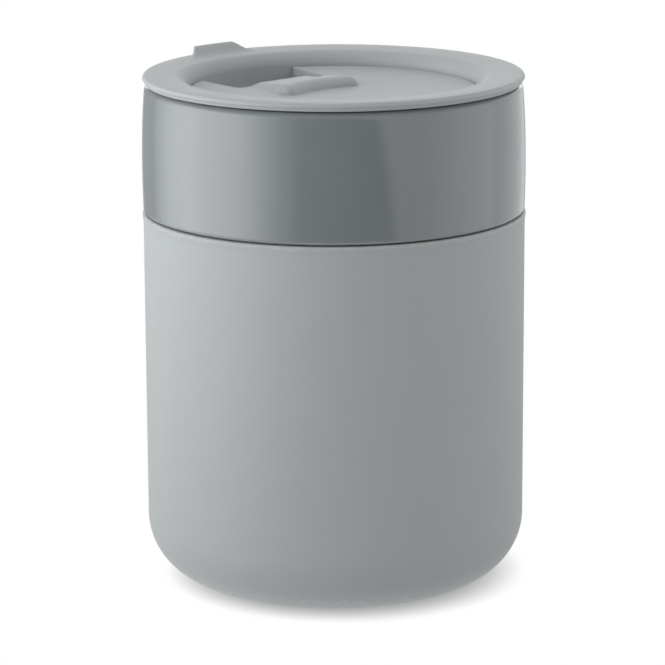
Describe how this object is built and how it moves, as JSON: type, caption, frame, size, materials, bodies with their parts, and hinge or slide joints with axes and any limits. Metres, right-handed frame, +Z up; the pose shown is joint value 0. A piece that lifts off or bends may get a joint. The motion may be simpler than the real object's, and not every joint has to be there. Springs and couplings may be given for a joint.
{
  "type": "lidded travel coffee mug",
  "caption": "Travel coffee mug: glazed ceramic cup in a round-footed silicone sleeve, closed by a press-in lid with a raised drinking lip and a twist dial over the sip hole.",
  "frame": {"origin": "middle of the sleeve's foot, on the surface that the mug stands on", "axes": "+Z up along the mug's axis, +Y towards the drinking lip"},
  "size_m": [0.0902, 0.0902, 0.1227],
  "materials": {
    "sleeve_silicone": "matte",
    "cup_glaze": "gloss",
    "lid_plastic": "matte",
    "seal_silicone": "satin",
    "clip_plastic": "satin"
  },
  "bodies": {
    "sleeve": {"silicone_sleeve": "sleeve_silicone"},
    "cup": {"ceramic_cup": "cup_glaze"},
    "lid": {"lid_cap": "lid_plastic", "lid_gasket": "seal_silicone"},
    "dial": {"twist_dial": "lid_plastic", "dial_seal": "seal_silicone", "post_o_ring": "seal_silicone", "retaining_clip": "clip_plastic"}
  },
  "joints": [
    {"name": "cup_lift", "type": "slide", "parent": "sleeve", "child": "cup", "axis": [0, 0, 1], "range_m": [0, 0.1]},
    {"name": "lid_lift", "type": "slide", "parent": "cup", "child": "lid", "axis": [0, 0, 1], "range_m": [0, 0.09]},
    {"name": "dial_twist", "type": "hinge", "parent": "lid", "child": "dial", "pos_m": [0, 0, 0.115], "axis": [0, 0, -1], "range_deg": [0, 90]}
  ]
}
